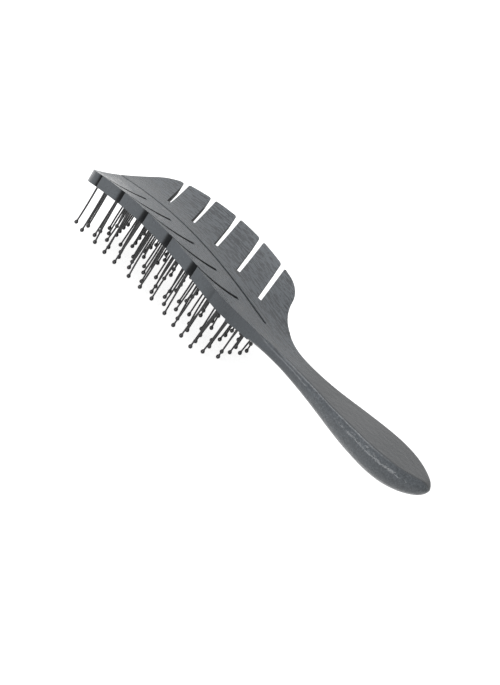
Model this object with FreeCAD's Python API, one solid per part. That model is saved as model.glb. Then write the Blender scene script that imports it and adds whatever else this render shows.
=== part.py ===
import FreeCAD, Part
import math
import os
from FreeCAD import Vector

# A vented hair brush with a leaf-shaped head.
# Stations run along the brush from the head's blunt end (0) to the end of the handle.
# Heights are measured from the highest point of the midrib, and y = 0 is the plane of symmetry.

# Overall
HANDLE_START = 103.0
HANDLE_LENGTH = 113.1
LENGTH = HANDLE_START + HANDLE_LENGTH
HEAD_HALF_WIDTH = 36.8
WIDEST_STATION = 58.0

# Back surface: (station, height of the midline, bow), where bow * y**2 is the rise beside the midline
HEAD_PROFILE = (
    (-8.0, -5.8, 0.0043),
    (0.0, -4.4, 0.0044),
    (19.0, -1.6, 0.0047),
    (46.5, 0.0, 0.0053),
    (74.0, -1.7, 0.0058),
    (96.0, -5.0, 0.0060),
)
# The same along the handle, with the station as a share of the handle's length
HANDLE_PROFILE = (
    (0.080, -7.9, 0.0052),
    (0.203, -9.4, 0.0030),
    (0.335, -9.7, 0.0008),
    (0.460, -9.5, 0.0),
    (0.590, -8.7, 0.0),
    (0.723, -7.9, 0.0),
    (0.838, -7.6, 0.0),
    (1.066, -8.1, 0.0),
)


def handle_station(share):
    return HANDLE_START + HANDLE_LENGTH * share


BACK_PROFILE = HEAD_PROFILE + tuple((handle_station(share), z, bow) for share, z, bow in HANDLE_PROFILE)
BACK_REACH = 44.0
BACK_STATIONS = 15

# Shapes that cut or trim others run this far past them
MARGIN = 20.0
OVERRUN = 5.0

# Leaf outline: tangent arcs, each named by its radius
FRONT_RADIUS = 90.0
CORNER_RADIUS = 14.0
SIDE_RADIUS = 300.0
HEEL_RADIUS = 16.4
HEEL_STATION = 86.5
NECK_RADIUS = 34.5
NECK_HALF_WIDTH = 8.7
NECK_ARC_REACH = 28.0

# Head section, depths straight down from the back surface
HEAD_DEPTH = 6.2
SKIN = 2.4
RIM = 1.7
POCKET_END = 110.5
HEAD_END = 112.5

# Slots between the fingers of the leaf
SLOT_COUNT = 5
SLOT_START = 25.7
SLOT_PITCH = 17.3
SLOT_INNER_Y = 8.6
SLOT_SLANT = 25.8
SLOT_INNER_WIDTH = 2.0
SLOT_MOUTH_WIDTH = 2.6
SLOT_WALL = 1.5
FINGER_REAR_RADIUS = 2.6
FINGER_FRONT_RADIUS = 0.6
FINGER_CORNER_SEARCH = 4.0
FINGER_CORNER_SLACK = 0.2

# Groove along the midrib
GROOVE_END = 109.0
GROOVE_DEPTH = 1.2
GROOVE_TIP_WIDTH = 0.9
GROOVE_HEEL_WIDTH = 1.5

# Handle sections: (share of the handle's length, half-width of the flat, half-width at the waist,
# height of the waist, height of the belly, fullness of the belly, reach of the bevel past the flat)
HANDLE_SECTIONS = (
    (0.0, 26.0, 28.0, -8.3, -12.3, 0.50, 1.4),
    (0.062, 18.5, 19.9, -9.0, -14.1, 0.62, 1.4),
    (0.123, 11.7, 12.6, -9.7, -15.3, 0.72, 1.5),
    (0.194, 8.4, 9.3, -10.4, -16.3, 0.74, 1.5),
    (0.273, 7.4, 8.4, -11.2, -17.3, 0.70, 1.5),
    (0.352, 7.6, 8.8, -11.7, -18.3, 0.64, 1.5),
    (0.440, 8.9, 10.2, -12.0, -19.4, 0.60, 1.5),
    (0.530, 11.0, 12.4, -11.9, -20.6, 0.58, 1.5),
    (0.617, 12.6, 14.2, -11.7, -21.7, 0.57, 1.5),
    (0.705, 13.8, 15.5, -11.5, -22.3, 0.56, 1.5),
    (0.784, 13.9, 15.7, -11.2, -22.4, 0.56, 1.5),
    (0.855, 12.2, 14.2, -11.0, -21.5, 0.56, 1.5),
    (0.912, 9.0, 11.4, -10.8, -19.6, 0.56, 1.4),
    (0.956, 5.1, 8.0, -10.7, -17.1, 0.56, 1.2),
    (0.985, 1.5, 4.7, -10.6, -14.4, 0.56, 0.8),
)
HANDLE_END_HEIGHT = -10.6
BELLY_STRIPS = 4

# Pin plate, seated on the floor of the head's pocket
PLATE_THICKNESS = 2.2
PLATE_CLEARANCE = 0.15

# Ball-tipped pins
PIN_RADIUS = 0.45
PIN_SIDES = 5
SOCKET_SIDES = 4
PIN_CLEARANCE = 0.03
SOCKET_FLOOR = 0.4
BALL_RADIUS = 1.0
BALL_LENGTH = 2.6
BALL_FAT_AT = 0.42
PIN_ROW_PITCH = 6.8
PIN_ROWS = 4
PIN_LINE_OFFSET = 4.25
TIP_LINE_OFFSET = -2.0
FRONT_LINE_OFFSET = 3.0
FRONT_ROW_PITCH = 5.6
HEEL_LINE_OFFSET = 18.5
HEEL_LINE_BOW = 0.013
PIN_TIP_DROP = 29.2
PIN_TIP_ARCH = 0.5
PIN_TIP_BOW = 0.0012
PIN_SCATTER = 0.9
HEEL_PIN_LEAN = -1.5

DEEP = 60.0


def curve_through(pairs):
    """A smooth curve in the plane y = 0 through (station, value) pairs."""
    curve = Part.BSplineCurve()
    curve.interpolate([Vector(s, 0, v) for s, v in pairs])
    return curve


MIDLINE = curve_through([(s, z) for s, z, bow in BACK_PROFILE])
BOW = curve_through([(s, 1000 * bow) for s, z, bow in BACK_PROFILE])


def value_at(curve, station):
    low, high = curve.FirstParameter, curve.LastParameter
    for step in range(40):
        middle = (low + high) / 2
        if curve.value(middle).x < station:
            low = middle
        else:
            high = middle
    return curve.value((low + high) / 2).z


def back_height(station, y):
    return value_at(MIDLINE, station) + value_at(BOW, station) / 1000 * y * y


def back_face(depth=0.0):
    """The back surface, lowered by a depth."""
    first, last = BACK_PROFILE[0][0], BACK_PROFILE[-1][0]
    step = (last - first) / (BACK_STATIONS - 1)
    stations = [first + step * i for i in range(BACK_STATIONS)]
    across = [BACK_REACH * j / 2 for j in (-2, -1, 0, 1, 2)]
    grid = [[Vector(s, y, back_height(s, y) - depth) for y in across] for s in stations]
    surface = Part.BSplineSurface()
    surface.interpolate(grid)
    return surface.toShape()


def layer(top_depth, bottom_depth):
    """The solid between two depths under the back surface."""
    return back_face(top_depth).extrude(Vector(0, 0, top_depth - bottom_depth))


def meet(c1, r1, c2, r2):
    """The crossing with the larger y of two circles in plan."""
    gap = c2 - c1
    d = gap.Length
    a = (r1 * r1 - r2 * r2 + d * d) / (2 * d)
    h = math.sqrt(r1 * r1 - a * a)
    along = gap / d
    side = Vector(-along.y, along.x, 0)
    points = [c1 + along * a + side * h, c1 + along * a - side * h]
    return max(points, key=lambda p: p.y)


def outline_centres():
    front = Vector(FRONT_RADIUS, 0, 0)
    side = Vector(WIDEST_STATION, HEAD_HALF_WIDTH - SIDE_RADIUS, 0)
    corner = meet(front, FRONT_RADIUS - CORNER_RADIUS, side, SIDE_RADIUS - CORNER_RADIUS)
    reach = SIDE_RADIUS - HEEL_RADIUS
    heel_y = side.y + math.sqrt(reach ** 2 - (HEEL_STATION - side.x) ** 2)
    heel = Vector(HEEL_STATION, heel_y, 0)
    neck_y = NECK_HALF_WIDTH + NECK_RADIUS
    span = HEEL_RADIUS + NECK_RADIUS
    neck = Vector(heel.x + math.sqrt(span ** 2 - (neck_y - heel.y) ** 2), neck_y, 0)
    return front, corner, side, heel, neck


def toward(a, b, radius):
    """The point at a radius from a, on the ray from a through b."""
    ray = b - a
    return a + ray * (radius / ray.Length)


def bulge(centre, radius, start, end):
    """The short arc about a centre between two points, in plan."""
    middle = toward(centre, (start + end) / 2, radius)
    return Part.Arc(start, middle, end).toShape()


def mirrored(p):
    return Vector(p.x, -p.y, p.z)


def outline_wire(inset):
    """The leaf outline in plan, moved inwards by an inset; it runs on outside the handle."""
    front, corner, side, heel, neck = outline_centres()
    r_corner = CORNER_RADIUS - inset
    r_side = SIDE_RADIUS - inset
    r_heel = HEEL_RADIUS - inset
    r_neck = NECK_RADIUS + inset
    p1 = toward(front, corner, FRONT_RADIUS - inset)
    p2 = toward(side, corner, r_side)
    p3 = toward(side, heel, r_side)
    p4 = toward(heel, neck, r_heel)
    p5 = Vector(neck.x + NECK_ARC_REACH, neck.y - math.sqrt(r_neck ** 2 - NECK_ARC_REACH ** 2), 0)
    p6 = Vector(LENGTH + OVERRUN, p5.y, 0)
    half = (
        (corner, r_corner, p1, p2),
        (side, r_side, p2, p3),
        (heel, r_heel, p3, p4),
        (neck, r_neck, p4, p5),
    )
    upper = [bulge(c, r, a, b) for c, r, a, b in half]
    lower = [bulge(mirrored(c), r, mirrored(b), mirrored(a)) for c, r, a, b in reversed(half)]
    tip = Part.Arc(mirrored(p1), Vector(inset, 0, 0), p1).toShape()
    ends = [(p5, p6), (p6, mirrored(p6)), (mirrored(p6), mirrored(p5))]
    end = [Part.LineSegment(a, b).toShape() for a, b in ends]
    return Part.Wire([tip] + upper + end + lower)


def flat_face(points):
    return Part.Face(Part.makePolygon(points + points[:1]))


def outward(solid):
    """The solid with its faces turned outwards."""
    if solid.Volume < 0:
        solid.reverse()
    return solid


def column(wire):
    """A tall upright solid on a plan outline."""
    return Part.Face(wire).extrude(Vector(0, 0, DEEP)).translated(Vector(0, 0, -DEEP / 2))


def slot_start(index):
    return SLOT_START + SLOT_PITCH * index


def slot_line(index, y):
    """Station of a slot's centre line at a distance y from the midrib."""
    return slot_start(index) - (abs(y) - SLOT_INNER_Y) * math.tan(math.radians(SLOT_SLANT))


def slot_column(index, side, grow):
    """One slot as an upright solid, with its walls moved outwards by an amount."""
    slant = math.radians(SLOT_SLANT)
    along = Vector(-math.sin(slant), side * math.cos(slant), 0)
    across = Vector(along.y, -along.x, 0)
    start = Vector(slot_start(index), side * SLOT_INNER_Y, 0) - along * grow
    mouth_at = (HEAD_HALF_WIDTH - SLOT_INNER_Y) / math.cos(slant)
    length = mouth_at + 2 * OVERRUN
    inner = SLOT_INNER_WIDTH / 2 + grow
    outer = inner + (SLOT_MOUTH_WIDTH - SLOT_INNER_WIDTH) / 2 * length / mouth_at
    end = start + along * length
    corners = [start + across * inner, end + across * outer, end - across * outer, start - across * inner]
    return column(Part.makePolygon(corners + corners[:1]))


def slot_places():
    return [(index, side) for index in range(SLOT_COUNT) for side in (1, -1)]


def without_slots(solid, grow):
    return solid.cut([slot_column(index, side, grow) for index, side in slot_places()])


def upright_edges(solid, station, y, reach):
    found = []
    for edge in solid.Edges:
        a, b = edge.Vertexes[0].Point, edge.Vertexes[-1].Point
        upright = abs(a.x - b.x) < 1e-6 and abs(a.y - b.y) < 1e-6
        if upright and math.hypot(a.x - station, a.y - y) < reach:
            found.append(edge)
    return found


def rim_y(station):
    """Half-width of the head at a station along its long side."""
    side = outline_centres()[2]
    return side.y + math.sqrt(SIDE_RADIUS ** 2 - (station - side.x) ** 2)


def rounded_fingers(solid):
    """Round the corners at the slots' mouths: well on the fingers' rear, a little on their front."""
    rear, front = [], []
    reach = (SLOT_MOUTH_WIDTH / 2 + FINGER_CORNER_SLACK) / math.cos(math.radians(SLOT_SLANT))
    for index, side in slot_places():
        station = slot_line(index, HEAD_HALF_WIDTH)
        y = rim_y(station)
        for edge in upright_edges(solid, station, side * y, FINGER_CORNER_SEARCH):
            corner = edge.Vertexes[0].Point
            offset = corner.x - slot_line(index, corner.y)
            if abs(offset) < reach:
                group = rear if offset < 0 else front
                group.append(edge)
    solid = solid.makeFillet(FINGER_REAR_RADIUS, rear)
    front = [e for f in front for e in upright_edges(solid, f.Vertexes[0].X, f.Vertexes[0].Y, 0.01)]
    return solid.makeFillet(FINGER_FRONT_RADIUS, front)


def head_slab():
    """The head's depth, wider than its outline and a little too high."""
    length = HEAD_END + MARGIN
    blank = Part.makeBox(length, 2 * BACK_REACH, 2 * DEEP, Vector(-MARGIN, -BACK_REACH, -DEEP))
    return layer(-OVERRUN, HEAD_DEPTH).common(blank)


def pocket_column(gap):
    """The hollow of the head in plan, less a gap all round."""
    plan = column(outline_wire(RIM + gap))
    length = POCKET_END - gap + MARGIN
    before_neck = Part.makeBox(length, 2 * BACK_REACH, 2 * DEEP, Vector(-MARGIN, -BACK_REACH, -DEEP))
    return without_slots(plan.common(before_neck), SLOT_WALL + gap)


def section_points(share, flat, wide, waist_z, bottom, fullness, reach):
    """Points round one handle section: the belly from waist to waist, then the tops of the bevels."""
    station = handle_station(share)
    waist = Vector(station, wide, waist_z)
    wall = Vector(station, wide, waist_z + (bottom - waist_z) * fullness)
    floor = Vector(station, wide * fullness, bottom)
    low = Vector(station, 0, bottom)
    quarter = Part.BezierCurve()
    quarter.setPoles([waist, wall, floor, low])
    side = [quarter.value(k / BELLY_STRIPS) for k in range(BELLY_STRIPS)]
    flat_z = back_height(station, flat)
    top = Vector(station, wide + (flat - wide) * reach, waist_z + (flat_z - waist_z) * reach)
    return side + [low] + [mirrored(p) for p in reversed([top] + side)] + [top]


def handle():
    """Lengthwise strips from the neck to the nose, left a little too high."""
    rings = [section_points(*section) for section in HANDLE_SECTIONS]
    rings.append([Vector(LENGTH, 0, HANDLE_END_HEIGHT)] * len(rings[0]))
    lines = []
    for points in zip(*rings):
        curve = Part.BSplineCurve()
        curve.interpolate(list(points))
        lines.append(curve.toShape())
    faces = [Part.makeRuledSurface(a, b) for a, b in zip(lines, lines[1:] + lines[:1])]
    faces.append(flat_face(rings[0]))
    shell = Part.Shell(faces)
    shell.sewShape()
    return outward(Part.makeSolid(shell))


def groove():
    """The midrib's groove, open at the tip and rounded at the heel."""
    tip, heel = GROOVE_TIP_WIDTH / 2, GROOVE_HEEL_WIDTH / 2
    start, end = -OVERRUN, GROOVE_END - heel
    plan = Part.Wire([
        Part.LineSegment(Vector(start, -tip, 0), Vector(end, -heel, 0)).toShape(),
        Part.Arc(Vector(end, -heel, 0), Vector(GROOVE_END, 0, 0), Vector(end, heel, 0)).toShape(),
        Part.LineSegment(Vector(end, heel, 0), Vector(start, tip, 0)).toShape(),
        Part.LineSegment(Vector(start, tip, 0), Vector(start, -tip, 0)).toShape(),
    ])
    return column(plan).common(layer(-OVERRUN, GROOVE_DEPTH))


def frame():
    """Head and handle in one moulding: trimmed in plan, then by the back surface, then hollowed."""
    plan = rounded_fingers(without_slots(column(outline_wire(0.0)), 0.0))
    body = head_slab().fuse(handle()).common(plan).common(layer(0.0, DEEP))
    hollow = pocket_column(0.0).common(layer(SKIN, HEAD_DEPTH + OVERRUN))
    return body.cut([hollow, groove()])


def ring(centre, radius, sides):
    """Corners of a level section about a centre."""
    angles = [2 * math.pi * k / sides for k in range(sides)]
    return [centre + Vector(radius * math.cos(a), radius * math.sin(a), 0) for a in angles]


def stack(rings):
    """A solid of flat faces through level rings of corners."""
    faces = [flat_face(rings[0]), flat_face(rings[-1])]
    for upper, lower in zip(rings, rings[1:]):
        for k, j in zip(range(len(upper)), list(range(1, len(upper))) + [0]):
            faces.append(flat_face([upper[k], upper[j], lower[j], lower[k]]))
    return outward(Part.makeSolid(Part.Shell(faces)))


def pin_scatter(station, y):
    """Small uneven lean of each pin, as moulded pins have."""
    a = math.sin(station * 1.7 + y * 2.9)
    b = math.sin(station * 2.3 - y * 1.3 + 1.0)
    return Vector(PIN_SCATTER * a, PIN_SCATTER * b, 0)


def pin_tip_height(station, y):
    return PIN_TIP_ARCH * value_at(MIDLINE, station) - PIN_TIP_DROP + PIN_TIP_BOW * y * y


def pin_axis(station, y, lean):
    """The root and the tip of a pin, each the centre of a level section."""
    root = Vector(station, y, back_height(station, y) - SKIN - SOCKET_FLOOR)
    tip = Vector(station + lean, y, pin_tip_height(station, y)) + pin_scatter(station, y)
    return root, tip


def pin(station, y, lean):
    """A flat-sided pin with a ball tip."""
    root, tip = pin_axis(station, y, lean)
    neck = tip + (root - tip) * (BALL_LENGTH / (root.z - tip.z))
    fat = tip + (neck - tip) * BALL_FAT_AT
    return stack([
        ring(root, PIN_RADIUS, PIN_SIDES),
        ring(neck, PIN_RADIUS, PIN_SIDES),
        ring(fat, BALL_RADIUS, PIN_SIDES),
        ring(tip, BALL_RADIUS / 2, PIN_SIDES),
    ])


def pin_socket(station, y, lean):
    """The blind socket of one pin, along its axis and open on the plate's underside."""
    root, tip = pin_axis(station, y, lean)
    reach = (PIN_RADIUS + PIN_CLEARANCE) / math.cos(math.pi / SOCKET_SIDES)
    depth = 2 * PLATE_THICKNESS / (root.z - tip.z)
    return flat_face(ring(root, reach, SOCKET_SIDES)).extrude((tip - root) * depth)


def pin_lines():
    """(finger, slot index, offset from that slot's line, rows, their pitch, lean) for each line of pins."""
    lines = [
        (1, -1, TIP_LINE_OFFSET, 2, PIN_ROW_PITCH, 0.0),
        (1, -1, FRONT_LINE_OFFSET, PIN_ROWS, FRONT_ROW_PITCH, 0.0),
    ]
    for index in range(SLOT_COUNT):
        lean = HEEL_PIN_LEAN if index == SLOT_COUNT - 1 else 0.0
        lines.append((index + 1, index, -PIN_LINE_OFFSET, PIN_ROWS, PIN_ROW_PITCH, 0.0))
        lines.append((index + 2, index, PIN_LINE_OFFSET, PIN_ROWS, PIN_ROW_PITCH, lean))
    return lines


def pin_places():
    """(finger, station, y, lean) of every pin on the +y side."""
    places = []
    for finger, index, offset, rows, pitch, lean in pin_lines():
        for row in range(rows):
            y = pitch * (row + 0.5)
            places.append((finger, slot_line(index, y) + offset, y, lean))
    for row in range(1, PIN_ROWS):
        y = PIN_ROW_PITCH * (row + 0.5)
        station = HEEL_STATION + HEEL_LINE_OFFSET - HEEL_LINE_BOW * y * y
        places.append((SLOT_COUNT + 1, station, y, HEEL_PIN_LEAN))
    return places


def pin_plate():
    plate = pocket_column(PLATE_CLEARANCE).common(layer(SKIN, SKIN + PLATE_THICKNESS))
    sockets = [pin_socket(s, side * y, lean) for f, s, y, lean in pin_places() for side in (1, -1)]
    return plate.cut(sockets)


def pin_groups():
    groups = {}
    for side, name in ((1, "left"), (-1, "right")):
        for finger, station, y, lean in pin_places():
            groups.setdefault("pins_%s_%d" % (name, finger), []).append(pin(station, side * y, lean))
    return {name: Part.Compound(pins) for name, pins in groups.items()}


def rest_height(groups):
    return -min(group.BoundBox.ZMin for group in groups.values())


def main():
    os.makedirs("parts", exist_ok=True)
    nodes = pin_groups()
    move = Vector(-LENGTH / 2, 0, rest_height(nodes))
    nodes["frame"] = frame()
    nodes["pin_plate"] = pin_plate()
    for name, shape in nodes.items():
        shape.translated(move).exportStep("parts/%s.step" % name)


main()
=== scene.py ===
import math

import bmesh
import bpy
import numpy as np
from mathutils import Matrix, Vector


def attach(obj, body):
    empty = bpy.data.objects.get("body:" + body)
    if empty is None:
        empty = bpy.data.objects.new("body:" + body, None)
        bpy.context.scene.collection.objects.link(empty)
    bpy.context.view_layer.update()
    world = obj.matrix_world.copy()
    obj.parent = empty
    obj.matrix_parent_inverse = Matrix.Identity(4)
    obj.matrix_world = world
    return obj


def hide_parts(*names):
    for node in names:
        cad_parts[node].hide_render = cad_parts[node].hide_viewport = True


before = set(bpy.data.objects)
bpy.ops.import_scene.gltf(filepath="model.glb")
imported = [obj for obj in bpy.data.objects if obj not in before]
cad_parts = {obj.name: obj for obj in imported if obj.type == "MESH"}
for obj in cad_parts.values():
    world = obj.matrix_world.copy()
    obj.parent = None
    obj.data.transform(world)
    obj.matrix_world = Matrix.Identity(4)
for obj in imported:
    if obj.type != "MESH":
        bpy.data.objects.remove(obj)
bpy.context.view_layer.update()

bl_info = {
    "name": "Leaf Vent Hair Brush",
    "version": (1, 0, 0),
    "blender": (4, 5, 0),
    "location": "View3D > Sidebar > Hair Brush",
    "description": "Dresses the packed hair brush: grained shell, pad, ball-tipped pins and stage",
    "category": "Object",
}

SHELL_NODE = "frame"
PAD_NODE = "pin_plate"
PIN_NODES = sorted(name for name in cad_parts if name.startswith("pins_"))

# Less than this is no distance at all
TINY = 1e-6


class HairBrushShellSettings(bpy.types.PropertyGroup):
    color: bpy.props.FloatVectorProperty(
        name="Shell colour",
        description="Grey of the plastic and plant fibre",
        subtype="COLOR", size=3, min=0.0, max=1.0, default=(0.074, 0.083, 0.092),
    )
    roughness: bpy.props.FloatProperty(
        name="Shell roughness",
        description="Gloss of the moulded surface",
        subtype="FACTOR", min=0.0, max=1.0, default=0.29,
    )
    edge_radius: bpy.props.FloatProperty(
        name="Edge radius",
        description="Rounding of the moulding's edges",
        subtype="DISTANCE", unit="LENGTH", min=0.0, default=0.0004,
    )
    crease_radius: bpy.props.FloatProperty(
        name="Crease radius",
        description="Rounding of the handle's long creases",
        subtype="DISTANCE", unit="LENGTH", min=0.0, default=0.0007,
    )
    grain_width: bpy.props.FloatProperty(
        name="Grain width",
        description="Distance between the fine streaks along the head",
        subtype="DISTANCE", unit="LENGTH", min=0.0001, default=0.0011,
    )
    grain_end: bpy.props.FloatProperty(
        name="Grain end",
        description="How far from the brush's middle the streaks have faded into leather grain",
        subtype="DISTANCE", unit="LENGTH", default=0.046,
    )


class HairBrushPinSettings(bpy.types.PropertyGroup):
    color: bpy.props.FloatVectorProperty(
        name="Pin colour",
        description="Near-black of the nylon pins",
        subtype="COLOR", size=3, min=0.0, max=1.0, default=(0.008, 0.008, 0.009),
    )
    pad_color: bpy.props.FloatVectorProperty(
        name="Pad colour",
        description="Matte black of the pad that carries the pins",
        subtype="COLOR", size=3, min=0.0, max=1.0, default=(0.030, 0.031, 0.033),
    )
    sides: bpy.props.IntProperty(
        name="Sides",
        description="Faces round each pin",
        min=6, max=32, default=12,
    )
    bend: bpy.props.FloatProperty(
        name="Bend",
        description="How far a used pin bows between its root and its ball",
        subtype="DISTANCE", unit="LENGTH", min=0.0, default=0.0004,
    )


class HairBrushStageSettings(bpy.types.PropertyGroup):
    floor_size: bpy.props.FloatProperty(
        name="Floor size",
        description="Side of the square floor",
        subtype="DISTANCE", unit="LENGTH", min=1.0, default=16.0,
    )
    floor_color: bpy.props.FloatVectorProperty(
        name="Floor colour",
        description="Pale floor",
        subtype="COLOR", size=3, min=0.0, max=1.0, default=(0.70, 0.70, 0.70),
    )
    floor_glow: bpy.props.FloatProperty(
        name="Floor glow",
        description="How much whiter the camera and reflections see the floor",
        min=0.0, max=1.0, default=0.82,
    )
    lens: bpy.props.FloatProperty(
        name="Lens",
        description="Focal length in millimetres on a sensor 36 mm high",
        min=10.0, default=77.33,
    )
    sky: bpy.props.FloatProperty(
        name="Sky",
        description="Strength of the even light from all round",
        min=0.0, default=0.26,
    )


# Shader helpers

WHITE = (1.0, 1.0, 1.0, 1.0)
SEEN_RAYS = ("Is Camera Ray", "Is Glossy Ray", "Is Transmission Ray")

# The colour sockets of a Mix node share their names with others, so they go by number
MIX_A = 6
MIX_B = 7
MIX_RESULT = 2


def rgba(color, share=1.0):
    """An opaque colour at a share of its brightness."""
    return tuple(c * share for c in color) + (1.0,)


class Value:
    """A shader output whose Python arithmetic adds Math nodes."""

    def __init__(self, tree, socket):
        self.tree = tree
        self.socket = socket

    def math(self, operation, *others):
        return self.tree.node("ShaderNodeMath", {"operation": operation}, {
            i: other for i, other in enumerate((self,) + others)
        })

    def __add__(self, other):
        return self.math("ADD", other)

    def __radd__(self, other):
        return self.math("ADD", other)

    def __sub__(self, other):
        return self.math("SUBTRACT", other)

    def __rsub__(self, other):
        return self.tree.node("ShaderNodeMath", {"operation": "SUBTRACT"}, {0: other, 1: self})

    def __mul__(self, other):
        return self.math("MULTIPLY", other)

    def __rmul__(self, other):
        return self.math("MULTIPLY", other)


class Finish:
    """The nodes of one material, or of the world."""

    def __init__(self, owner, output="ShaderNodeOutputMaterial"):
        owner.use_nodes = True
        self.owner = owner
        self.nodes = owner.node_tree.nodes
        self.links = owner.node_tree.links
        self.nodes.clear()
        self.output = self.nodes.new(output)

    def node(self, kind, settings=None, inputs=None, output=0):
        """A node from its type, its settings and the values or links of its sockets."""
        made = self.nodes.new(kind)
        for key, value in (settings or {}).items():
            setattr(made, key, value)
        for key, value in (inputs or {}).items():
            if isinstance(value, Value):
                self.links.new(value.socket, made.inputs[key])
            elif value is not None:
                made.inputs[key].default_value = value
        return Value(self, made.outputs[output])

    def part(self, vector, axis):
        """One of a vector's three parts."""
        return self.node("ShaderNodeSeparateXYZ", {}, {0: vector}, axis)

    def ramp(self, value, low, high, out_low=0.0, out_high=1.0):
        """A smooth step of a value between two limits."""
        return self.node("ShaderNodeMapRange", {"interpolation_type": "SMOOTHSTEP"}, {
            "Value": value, "From Min": low, "From Max": high,
            "To Min": out_low, "To Max": out_high,
        })

    def mix(self, factor, a, b):
        """A colour between two colours."""
        return self.node("ShaderNodeMix", {"data_type": "RGBA"}, {
            "Factor": factor, MIX_A: a, MIX_B: b,
        }, MIX_RESULT)

    def noise(self, coords, scale, detail=3.0, roughness=0.5, distortion=0.0):
        """Noise with a scale of its own along each axis."""
        stretched = self.node("ShaderNodeVectorMath", {"operation": "MULTIPLY"}, {
            0: coords, 1: scale,
        })
        return self.node("ShaderNodeTexNoise", {}, {
            "Vector": stretched, "Scale": 1.0, "Detail": detail, "Roughness": roughness,
            "Distortion": distortion,
        })

    def bump(self, height, strength, distance, normal=None):
        """A normal from a height pattern, on top of another normal if there is one."""
        return self.node("ShaderNodeBump", {}, {
            "Strength": strength, "Distance": distance, "Height": height, "Normal": normal,
        })

    def seen(self):
        """1 for the rays that show a surface itself, 0 for those that light others."""
        rays = [self.node("ShaderNodeLightPath", output=name) for name in SEEN_RAYS]
        return rays[0].math("MAXIMUM", rays[1]).math("MAXIMUM", rays[2])

    def finish_with(self, shader):
        self.links.new(shader.socket, self.output.inputs["Surface"])
        return self.owner

    def plastic(self, color, roughness, normal, specular=None):
        """Finish with a plastic of this colour, roughness and normal."""
        return self.finish_with(self.node("ShaderNodeBsdfPrincipled", {}, {
            "Base Color": color, "Roughness": roughness, "Normal": normal,
            "Specular IOR Level": specular,
        }))


# Finishes of the pieces

# Where the slots and the midrib's groove lie, for their painted shade
SLOTS_FROM = -0.0995
SLOTS_TO = -0.0125
SLOTS_FADE = 0.001
GROOVE_FROM = -0.108
GROOVE_TO = 0.0005
GROOVE_FADE = 0.0002
GROOVE_TIP_HALF = 0.00045
GROOVE_FLARE = 0.0028
GROOVE_EDGE = 0.00006

# How long the streaks take to fade into the handle's leather grain
GRAIN_FADE = 0.03

# The shell's tones, as shares of its colour
DARK_TONE = 0.6
LIGHT_TONE = 1.45
# Painted shade on the handle's top: its darkest tone, and how much of the top it covers
TOP_SHADE_TONE = 0.4
TOP_SHADE_COVER = 0.85
# Painted shade in the slots and the midrib's groove: their tone
RECESS_SHADE_TONE = 0.16

# How much each pattern changes the shell's brightness
STREAK_CONTRAST = 3.8
LEATHER_CONTRAST = 1.9
CLOUD_CONTRAST = 0.4

# How much each pattern changes the shell's roughness
RECESS_ROUGHNESS = 0.4
LEATHER_ROUGHNESS = 0.5
CLOUD_ROUGHNESS = 0.3
STREAK_ROUGHNESS = 0.9
HANDLE_POLISH = 0.08

# How high each pattern stands in the shell's bump
GRAIN_HEIGHT = 0.55
LEATHER_HEIGHT = 0.16
DENTS_HEIGHT = 1.3
DENTS_LESS_ON_BACK = 0.8
SHELL_BUMP = 0.0003
SHELL_SPECULAR = 0.38


def recess_shade_mask(f, coords, normal):
    """1 on the walls of the slots and in the midrib's groove, where shade is painted."""
    along = f.part(coords, 0)
    sideways = f.part(coords, 1).math("ABSOLUTE")
    endways = f.part(normal, 0).math("ABSOLUTE")
    by_the_slots = (
        f.ramp(along, SLOTS_FROM, SLOTS_FROM + SLOTS_FADE)
        * f.ramp(along, SLOTS_TO, SLOTS_TO + SLOTS_FADE, 1.0, 0.0)
    )
    in_slot = f.ramp(endways, 0.35, 0.8) * by_the_slots
    groove_half = (along - GROOVE_FROM) * GROOVE_FLARE + GROOVE_TIP_HALF
    in_groove = (
        f.ramp(sideways - groove_half, 0.0, GROOVE_EDGE, 1.0, 0.0)
        * f.ramp(along, GROOVE_TO, GROOVE_TO + GROOVE_FADE, 1.0, 0.0)
        * f.ramp(f.part(normal, 2), 0.0, 0.1)
    )
    return in_slot.math("MAXIMUM", in_groove)


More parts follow.
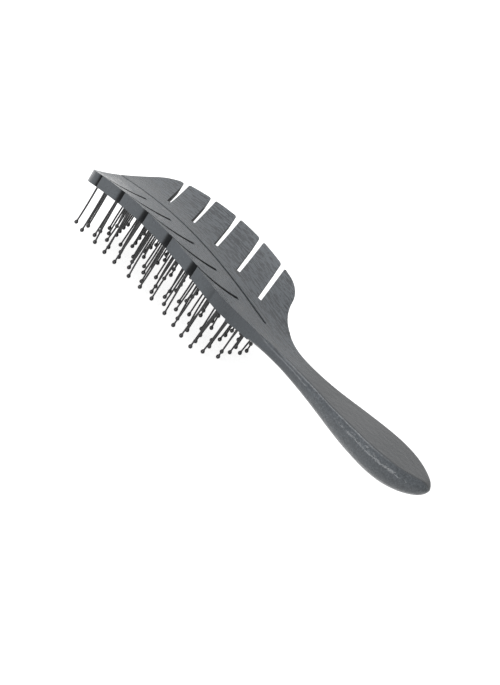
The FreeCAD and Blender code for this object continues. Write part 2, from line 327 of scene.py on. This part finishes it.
def shell_finish(s):
    """Grey fibre-filled plastic: streaks along the head, leather grain on the handle, painted
    shade on the handle's top and in the recesses.
    """
    f = Finish(bpy.data.materials.new("fibre_filled_shell"))
    coords = f.node("ShaderNodeTexCoord", output="Object")
    normal = f.node("ShaderNodeNewGeometry", output="Normal")
    painted_recess_shade = recess_shade_mask(f, coords, normal)
    on_back = f.ramp(f.part(normal, 2), 0.45, 0.75)
    on_head = f.ramp(f.part(coords, 0), s.grain_end - GRAIN_FADE, s.grain_end, 1.0, 0.0)
    on_handle = 1.0 - on_head

    across = 1.0 / s.grain_width
    streaks = f.noise(coords, (across * 0.2, across, across * 0.2), 3.0, 0.6, 0.4)
    fibres = f.noise(coords, (across * 0.5, across * 2.2, across * 0.5), 2.0, 0.5, 0.2)
    leather = f.noise(coords, (1100.0, 1100.0, 1100.0), 3.0, 0.6, 0.6)
    dents = f.noise(coords, (300.0, 420.0, 420.0), 2.0, 0.5, 0.3)
    cloud = f.noise(coords, (40.0, 60.0, 60.0))
    coarse = on_handle * 0.7 + on_back * 0.3 + 0.35

    shade = (
        (streaks - 0.5) * (on_back * on_head) * STREAK_CONTRAST
        + (leather - 0.5) * coarse * LEATHER_CONTRAST
        + (cloud - 0.5) * CLOUD_CONTRAST
    )
    color = f.mix(shade + 0.5, rgba(s.color, DARK_TONE), rgba(s.color, LIGHT_TONE))
    turned = f.part(normal, 1).math("ABSOLUTE")
    # Painted shade: the handle's upward faces are darkened for how the light falls there, not from
    # wear
    painted_top_shade = on_back * on_handle * f.ramp(turned, 0.12, 0.35, 1.0, 0.0)
    color = f.mix(painted_top_shade * TOP_SHADE_COVER, color, rgba(s.color, TOP_SHADE_TONE))
    # Painted shade: the slots' walls and the midrib's groove are darkened where shade falls
    color = f.mix(painted_recess_shade, color, rgba(s.color, RECESS_SHADE_TONE))

    roughness = (
        painted_recess_shade * RECESS_ROUGHNESS
        + (leather - 0.5) * coarse * LEATHER_ROUGHNESS
        + (cloud - 0.5) * CLOUD_ROUGHNESS
        + (streaks - 0.5) * on_head * STREAK_ROUGHNESS
        + s.roughness
        - on_handle * HANDLE_POLISH
    )
    height = (
        (streaks * 0.7 + fibres * 0.3) * on_back * on_head * GRAIN_HEIGHT
        + leather * LEATHER_HEIGHT
        + dents * on_handle * (DENTS_HEIGHT - on_back * DENTS_LESS_ON_BACK)
    )
    rounded = f.node("ShaderNodeBevel", {"samples": 8}, {"Radius": s.edge_radius})
    return f.plastic(color, roughness, f.bump(height, 0.9, SHELL_BUMP, rounded), SHELL_SPECULAR)


def pad_finish(s):
    """Matte black with a fine speckle."""
    f = Finish(bpy.data.materials.new("matte_black_pad"))
    coords = f.node("ShaderNodeTexCoord", output="Object")
    speckle = f.noise(coords, (1800.0, 1800.0, 1800.0), 3.0, 0.6)
    cloud = f.noise(coords, (60.0, 60.0, 60.0), 2.0)
    color = f.mix(speckle * 0.6 + cloud * 0.4, rgba(s.pad_color, 0.75), rgba(s.pad_color, 1.3))
    return f.plastic(color, speckle * 0.2 + 0.5, f.bump(speckle, 0.4, 0.0001))


def pin_finish(s):
    """Satin black nylon with a faint grain along the pins."""
    f = Finish(bpy.data.materials.new("black_nylon_pin"))
    coords = f.node("ShaderNodeTexCoord", output="Object")
    cloud = f.noise(coords, (300.0, 300.0, 120.0))
    fine = f.noise(coords, (2600.0, 2600.0, 900.0), 2.0)
    color = f.mix(cloud, rgba(s.color, 0.7), rgba(s.color, 1.5))
    return f.plastic(color, cloud * 0.16 + 0.28, f.bump(fine, 0.25, 0.00005))


# Mesh helpers

def new_piece(name, bm, material, replaced):
    """A piece from a bmesh, riding on the brush and standing for CAD nodes."""
    mesh = bpy.data.meshes.new(name)
    bm.to_mesh(mesh)
    bm.free()
    piece = bpy.data.objects.new(name, mesh)
    bpy.context.scene.collection.objects.link(piece)
    mesh.materials.append(material)
    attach(piece, "root")
    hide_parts(*replaced)


def node_mesh(node):
    """A bmesh copy of a CAD node, with its faces joined where they meet."""
    bm = bmesh.new()
    bm.from_mesh(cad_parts[node].data)
    bmesh.ops.remove_doubles(bm, verts=bm.verts, dist=TINY)
    return bm


def loose_parts(node):
    """The separate solids of a CAD node, each as an array of its corner points."""
    bm = node_mesh(node)
    left = set(bm.verts)
    parts = []
    for seed in bm.verts:
        if seed not in left:
            continue
        left.remove(seed)
        group, waiting = [seed], [seed]
        while waiting:
            vert = waiting.pop()
            for edge in vert.link_edges:
                other = edge.other_vert(vert)
                if other in left:
                    left.remove(other)
                    group.append(other)
                    waiting.append(other)
        parts.append(np.array([v.co for v in group]))
    bm.free()
    return sorted(parts, key=lambda p: (round(p[:, 0].mean(), 5), round(p[:, 1].mean(), 5)))


# The handle is lofted from here to its nose, and its creases round off over the first run
HANDLE_FROM = 0.008
ROUNDING_RUN = 0.014
RING_STEP = 0.001
RING_POINTS = 128

# Over the nose the rings close up towards its end
NOSE_RUN = 0.008
NOSE_RINGS = 16

# How far the belly is smoothed round a ring, and the most for crease and belly as its shares
BELLY_SMOOTHING = 0.0020
CREASE_SHARE = 0.03
BELLY_SHARE = 0.05

# The belly starts this far below the ring's widest points and takes over within its fade
WIDEST_BAND = 0.00005
BELLY_DROP = 0.0005
BELLY_FADE = 0.002

# Rounds of smoothing from ring to ring
RING_ROUNDS = 3

# Larger than any distance on the brush
FAR_AWAY = 1.0


def handle_outline(bm, x):
    """The handle's section at x, and its length.

    The section is evenly spaced (y, z) points, from the top middle round.
    """
    points = []
    for edge in bm.edges:
        a, b = edge.verts[0].co, edge.verts[1].co
        if (a.x - x) * (b.x - x) < 0.0:
            t = (x - a.x) / (b.x - a.x)
            points.append((a.y + (b.y - a.y) * t, a.z + (b.z - a.z) * t))
    points = np.array(points)
    middle = (points.max(axis=0) + points.min(axis=0)) / 2
    turn = np.arctan2(points[:, 0] - middle[0], points[:, 1] - middle[1])
    points = points[np.argsort(turn)]
    first = int(np.argmin(np.abs(np.sort(turn))))
    points = np.roll(points, -first, axis=0)
    closed = np.vstack([points, points[:1]])
    steps = np.linalg.norm(np.diff(closed, axis=0), axis=1)
    run = np.concatenate([[0.0], np.cumsum(steps)])
    even = np.linspace(0.0, run[-1], RING_POINTS, endpoint=False)
    ring = np.stack([np.interp(even, run, closed[:, k]) for k in (0, 1)], axis=1)
    shift = int(np.argmin(np.where(ring[:, 1] > middle[1], np.abs(ring[:, 0]), FAR_AWAY)))
    return np.roll(ring, -shift, axis=0), run[-1]


def smoothed(ring, length, reach):
    """A closed ring of points, smoothed over a reach along it."""
    waves = np.fft.rfft(ring, axis=0)
    fade = np.exp(-0.5 * (2.0 * math.pi * np.arange(len(waves)) * reach / length) ** 2)
    return np.fft.irfft(waves * fade[:, None], len(ring), axis=0)


def ring_places(end):
    """Where the handle's rings stand, from its start to just short of its end."""
    nose_from = end - NOSE_RUN
    count = round((nose_from - HANDLE_FROM) / RING_STEP)
    places = list(np.linspace(HANDLE_FROM, nose_from, count, endpoint=False))
    places[0] += TINY
    places += [end - NOSE_RUN * (1.0 - k / NOSE_RINGS) ** 2 for k in range(NOSE_RINGS)]
    return places


def handle_rings(bm, crease_radius):
    """Rings of points along the handle, and its nose."""
    end = max(bm.verts, key=lambda v: v.co.x).co.copy()
    rings = []
    for x in ring_places(end.x):
        ring, length = handle_outline(bm, x)
        share = min(1.0, max(0.0, (x - HANDLE_FROM) / ROUNDING_RUN))
        share = share * share * (3.0 - 2.0 * share)
        fine = smoothed(ring, length, min(crease_radius, CREASE_SHARE * length) * share)
        soft = smoothed(ring, length, min(BELLY_SMOOTHING, BELLY_SHARE * length) * share)
        wide = np.abs(ring[:, 0])
        waist = ring[wide > wide.max() - WIDEST_BAND, 1].max()
        belly = np.clip((waist - BELLY_DROP - ring[:, 1]) / BELLY_FADE, 0.0, 1.0)[:, None]
        section = fine * (1.0 - belly) + soft * belly
        rings.append(np.column_stack([np.full(RING_POINTS, x), section]))
    rings = np.array(rings)
    for _ in range(RING_ROUNDS):
        before, here, after = rings[:-2, :, 1:], rings[1:-1, :, 1:], rings[2:, :, 1:]
        rings[1:-1, :, 1:] = (before + 2.0 * here + after) / 4.0
    return rings, end


def add_loft(bm, rings, nose):
    """Skin the rings, closed by a flat start and a nose point."""
    loops = [[bm.verts.new(point) for point in ring] for ring in rings]
    last = bm.verts.new(nose)
    count = len(loops[0])
    made = [bm.faces.new(loops[0])]
    for a, b in zip(loops, loops[1:]):
        for k in range(count):
            j = (k + 1) % count
            made.append(bm.faces.new((a[k], b[k], b[j], a[j])))
    for k in range(count):
        made.append(bm.faces.new((loops[-1][k], last, loops[-1][(k + 1) % count])))
    for face in made[1:]:
        face.smooth = True
    bmesh.ops.recalc_face_normals(bm, faces=made)


# Profile of a ball tip: (share of the ball's length from neck to tip, share of its radius)
BALL_PROFILE = (
    (0.0, 0.40), (0.14, 0.46), (0.26, 0.62), (0.38, 0.82), (0.50, 0.96), (0.60, 1.0),
    (0.70, 0.97), (0.80, 0.86), (0.90, 0.64), (0.97, 0.36), (1.0, 0.12),
)
BALL_LENGTH = 0.0026
BALL_RADIUS = 0.001

# A pin's shaft tapers from a little more than its radius at the root
PIN_RADIUS = 0.00045
ROOT_SHARE = 1.06
TAPER = 0.16
SHAFT_RINGS = 7

# A pin bows less near its root: this share of what it would near its ball
ROOT_BOW = 0.4


def pin_stations(length):
    """The rings along a pin: (share of its length, radius)."""
    shaft = 1.0 - BALL_LENGTH / length
    stations = []
    for k in range(SHAFT_RINGS):
        t = shaft * k / SHAFT_RINGS
        stations.append((t, PIN_RADIUS * (ROOT_SHARE - TAPER * t)))
    for share, radius in BALL_PROFILE:
        stations.append((shaft + (1.0 - shaft) * share, BALL_RADIUS * radius))
    return stations


def add_pin(bm, points, sides, bend):
    """A round pin along the axis of a flat-sided CAD pin."""
    top, bottom = points[:, 2].max(), points[:, 2].min()
    root = Vector(points[points[:, 2] > top - TINY].mean(axis=0))
    tip = Vector(points[points[:, 2] < bottom + TINY].mean(axis=0))
    axis = tip - root
    side = axis.cross(Vector((0.3, 1.0, 0.0))).normalized()
    other = axis.cross(side).normalized()
    swing = math.sin(root.x * 4100.0 + root.y * 2300.0)
    lean = math.cos(root.x * 1900.0 - root.y * 3700.0)
    rings = []
    for t, radius in pin_stations(axis.length):
        bow = bend * math.sin(math.pi * t) * (ROOT_BOW + (1.0 - ROOT_BOW) * t)
        centre = root + axis * t + side * (bow * swing) + other * (bow * lean)
        ring = []
        for k in range(sides):
            a = 2.0 * math.pi * k / sides
            ring.append(bm.verts.new(
                centre + side * (radius * math.cos(a)) + other * (radius * math.sin(a))
            ))
        rings.append(ring)
    for upper, lower in zip(rings, rings[1:]):
        for k in range(sides):
            j = (k + 1) % sides
            bm.faces.new((upper[k], upper[j], lower[j], lower[k])).smooth = True
    bm.faces.new(rings[0])
    bm.faces.new(list(reversed(rings[-1])))


# Edges of the head that turn less than this are shaded smooth
SMOOTH_LIMIT = math.radians(28.0)


class HAIRBRUSH_OT_shell(bpy.types.Operator):
    """Dress the shell: leaf head, midrib, neck and handle in one moulding"""
    bl_idname = "hairbrush.shell"
    bl_label = "Shell"

    def execute(self, context):
        s = context.scene.hair_brush_shell
        bm = node_mesh(SHELL_NODE)
        rings, nose = handle_rings(bm, s.crease_radius)
        everything = list(bm.verts) + list(bm.edges) + list(bm.faces)
        bmesh.ops.bisect_plane(
            bm, geom=everything, plane_co=(HANDLE_FROM, 0.0, 0.0), plane_no=(1.0, 0.0, 0.0),
            clear_outer=True,
        )
        open_edges = [edge for edge in bm.edges if len(edge.link_faces) == 1]
        bmesh.ops.contextual_create(bm, geom=open_edges)
        for face in bm.faces:
            face.smooth = True
        for edge in bm.edges:
            edge.smooth = len(edge.link_faces) == 2 and edge.calc_face_angle(0.0) < SMOOTH_LIMIT
        add_loft(bm, rings, nose)
        new_piece("leaf_shell", bm, shell_finish(s), [SHELL_NODE])
        return {"FINISHED"}


class HAIRBRUSH_OT_pad(bpy.types.Operator):
    """Give the pad under the head its matte black finish"""
    bl_idname = "hairbrush.pad"
    bl_label = "Pin pad"

    def execute(self, context):
        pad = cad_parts[PAD_NODE]
        pad.data.materials.clear()
        pad.data.materials.append(pad_finish(context.scene.hair_brush_pins))
        return {"FINISHED"}


class HAIRBRUSH_OT_pins(bpy.types.Operator):
    """Turn the flat-sided pins into round nylon pins with ball tips"""
    bl_idname = "hairbrush.pins"
    bl_label = "Pins"

    def execute(self, context):
        s = context.scene.hair_brush_pins
        material = pin_finish(s)
        for node in PIN_NODES:
            bm = bmesh.new()
            for points in loose_parts(node):
                add_pin(bm, points, s.sides, s.bend)
            bmesh.ops.recalc_face_normals(bm, faces=bm.faces)
            new_piece("round_" + node, bm, material, [node])
        return {"FINISHED"}


# Stage

# Where the camera stands, and its right, up and backward directions
CAMERA_PLACE = (0.27542, -0.55287, 0.25902)
CAMERA_RIGHT = (0.6480, 0.5553, 0.5214)
CAMERA_UP = (-0.6389, 0.0236, 0.7689)
CAMERA_BACK = (0.4147, -0.8313, 0.3700)
SENSOR_SIZE = 36.0
NEAREST_SEEN = 0.01
FARTHEST_SEEN = 100.0

# Name, place, aim, length and width, and power of each light
LIGHTS = (
    ("overhead light", (-0.55, 0.12, 1.4), (0.0, 0.001, -1.0), (0.9, 0.3), 6.5),
    ("front light", (0.1, -1.45, 0.42), (-0.1, 1.45, -0.4), (2.4, 0.4), 18.5),
    ("back light", (-0.62, 0.46, 1.28), (0.58, -0.46, -1.28), (0.9, 0.3), 0.8),
    ("near light", (-0.6, -0.36, 1.3), (0.55, 0.36, -1.3), (0.9, 0.45), 3.4),
)


def area_light(name, place, aim, size, power):
    """A rectangular light that shines along its aim."""
    light = bpy.data.lights.new(name, "AREA")
    light.shape = "RECTANGLE"
    light.size, light.size_y = size
    light.energy = power
    lamp = bpy.data.objects.new(name, light)
    lamp.location = place
    lamp.rotation_euler = Vector(aim).to_track_quat("-Z", "Y").to_euler()
    bpy.context.scene.collection.objects.link(lamp)


def floor_finish(s):
    """Pale floor that the camera and reflections see brighter, and that keeps the shadow."""
    f = Finish(bpy.data.materials.new("pale_floor"))
    diffuse = f.node("ShaderNodeBsdfDiffuse", {}, {"Color": rgba(s.floor_color)})
    glow = f.node("ShaderNodeEmission", {}, {"Color": WHITE, "Strength": f.seen() * s.floor_glow})
    return f.finish_with(f.node("ShaderNodeAddShader", {}, {0: diffuse, 1: glow}))


class HAIRBRUSH_OT_stage(bpy.types.Operator):
    """Add the pale floor, the soft light and the camera"""
    bl_idname = "hairbrush.stage"
    bl_label = "Stage"

    def execute(self, context):
        s = context.scene.hair_brush_stage
        self.add_floor(context, s)
        self.add_sky(context, s)
        for light in LIGHTS:
            area_light(*light)
        self.add_camera(context, s)
        return {"FINISHED"}

    def add_floor(self, context, s):
        half = s.floor_size / 2
        mesh = bpy.data.meshes.new("floor")
        corners = [(-half, -half, 0.0), (half, -half, 0.0), (half, half, 0.0), (-half, half, 0.0)]
        mesh.from_pydata(corners, [], [(0, 1, 2, 3)])
        floor = bpy.data.objects.new("floor", mesh)
        mesh.materials.append(floor_finish(s))
        context.scene.collection.objects.link(floor)

    def add_sky(self, context, s):
        context.scene.world = bpy.data.worlds.new("studio")
        f = Finish(context.scene.world, "ShaderNodeOutputWorld")
        strength = f.node("ShaderNodeMapRange", {}, {
            "Value": f.seen(), "To Min": s.sky, "To Max": 1.0,
        })
        f.finish_with(f.node("ShaderNodeBackground", {}, {"Color": WHITE, "Strength": strength}))

    def add_camera(self, context, s):
        data = bpy.data.cameras.new("camera")
        data.lens = s.lens
        data.sensor_width = SENSOR_SIZE
        data.clip_start = NEAREST_SEEN
        data.clip_end = FARTHEST_SEEN
        camera = bpy.data.objects.new("camera", data)
        axes = Matrix((CAMERA_RIGHT, CAMERA_UP, CAMERA_BACK)).transposed()
        camera.matrix_world = Matrix.Translation(CAMERA_PLACE) @ axes.to_4x4()
        context.scene.collection.objects.link(camera)
        context.scene.camera = camera
        context.scene.view_settings.view_transform = "Standard"


class HAIRBRUSH_PT_panel(bpy.types.Panel):
    """Sizes and colours of the hair brush"""
    bl_label = "Hair Brush"
    bl_idname = "HAIRBRUSH_PT_panel"
    bl_space_type = "VIEW_3D"
    bl_region_type = "UI"
    bl_category = "Hair Brush"

    def draw(self, context):
        layout = self.layout
        for group, operators in (
            (context.scene.hair_brush_shell, ("hairbrush.shell",)),
            (context.scene.hair_brush_pins, ("hairbrush.pad", "hairbrush.pins")),
            (context.scene.hair_brush_stage, ("hairbrush.stage",)),
        ):
            box = layout.box()
            for name in group.bl_rna.properties.keys():
                if name not in {"rna_type", "name"}:
                    box.prop(group, name)
            for operator in operators:
                box.operator(operator)


SETTINGS = (
    ("hair_brush_shell", HairBrushShellSettings),
    ("hair_brush_pins", HairBrushPinSettings),
    ("hair_brush_stage", HairBrushStageSettings),
)
CLASSES = (
    HAIRBRUSH_OT_shell,
    HAIRBRUSH_OT_pad,
    HAIRBRUSH_OT_pins,
    HAIRBRUSH_OT_stage,
    HAIRBRUSH_PT_panel,
)


def register():
    for name, group in SETTINGS:
        bpy.utils.register_class(group)
        setattr(bpy.types.Scene, name, bpy.props.PointerProperty(type=group))
    for made in CLASSES:
        bpy.utils.register_class(made)


def unregister():
    for made in reversed(CLASSES):
        bpy.utils.unregister_class(made)
    for name, group in reversed(SETTINGS):
        delattr(bpy.types.Scene, name)
        bpy.utils.unregister_class(group)


def main():
    register()
    bpy.ops.hairbrush.shell()
    bpy.ops.hairbrush.pad()
    bpy.ops.hairbrush.pins()
    bpy.ops.hairbrush.stage()


if __name__ == "__main__":
    main()
